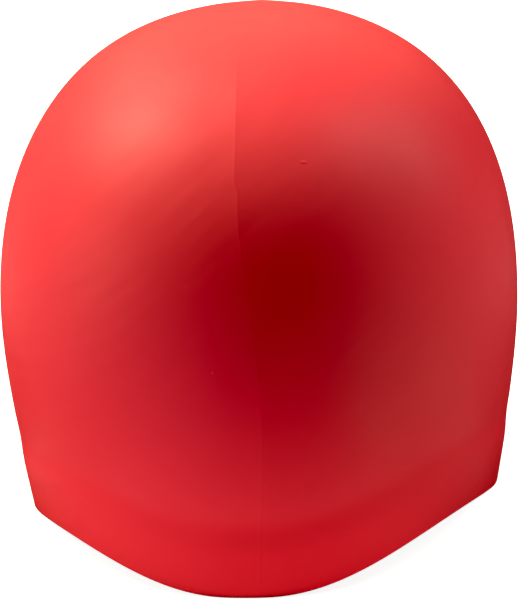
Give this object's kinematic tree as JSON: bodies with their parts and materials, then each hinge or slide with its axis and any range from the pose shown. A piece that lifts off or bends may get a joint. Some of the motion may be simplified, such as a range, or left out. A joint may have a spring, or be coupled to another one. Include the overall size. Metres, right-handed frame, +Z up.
{
  "type": "swim cap",
  "caption": "Plain moulded silicone swim cap: a hollow head-shaped dome with a low parting ridge over the crown and a thicker band along its arched rim.",
  "frame": {"origin": "on the floor, under the middle of the cap's bounding box", "axes": "+Z up through the crown, +Y from the nape to the forehead, +X to the right of somebody who looks at the nape"},
  "size_m": [0.15, 0.1868, 0.1444],
  "materials": {
    "silicone": "satin"
  },
  "bodies": {
    "root": {"cap_shell": "silicone"}
  },
  "joints": []
}
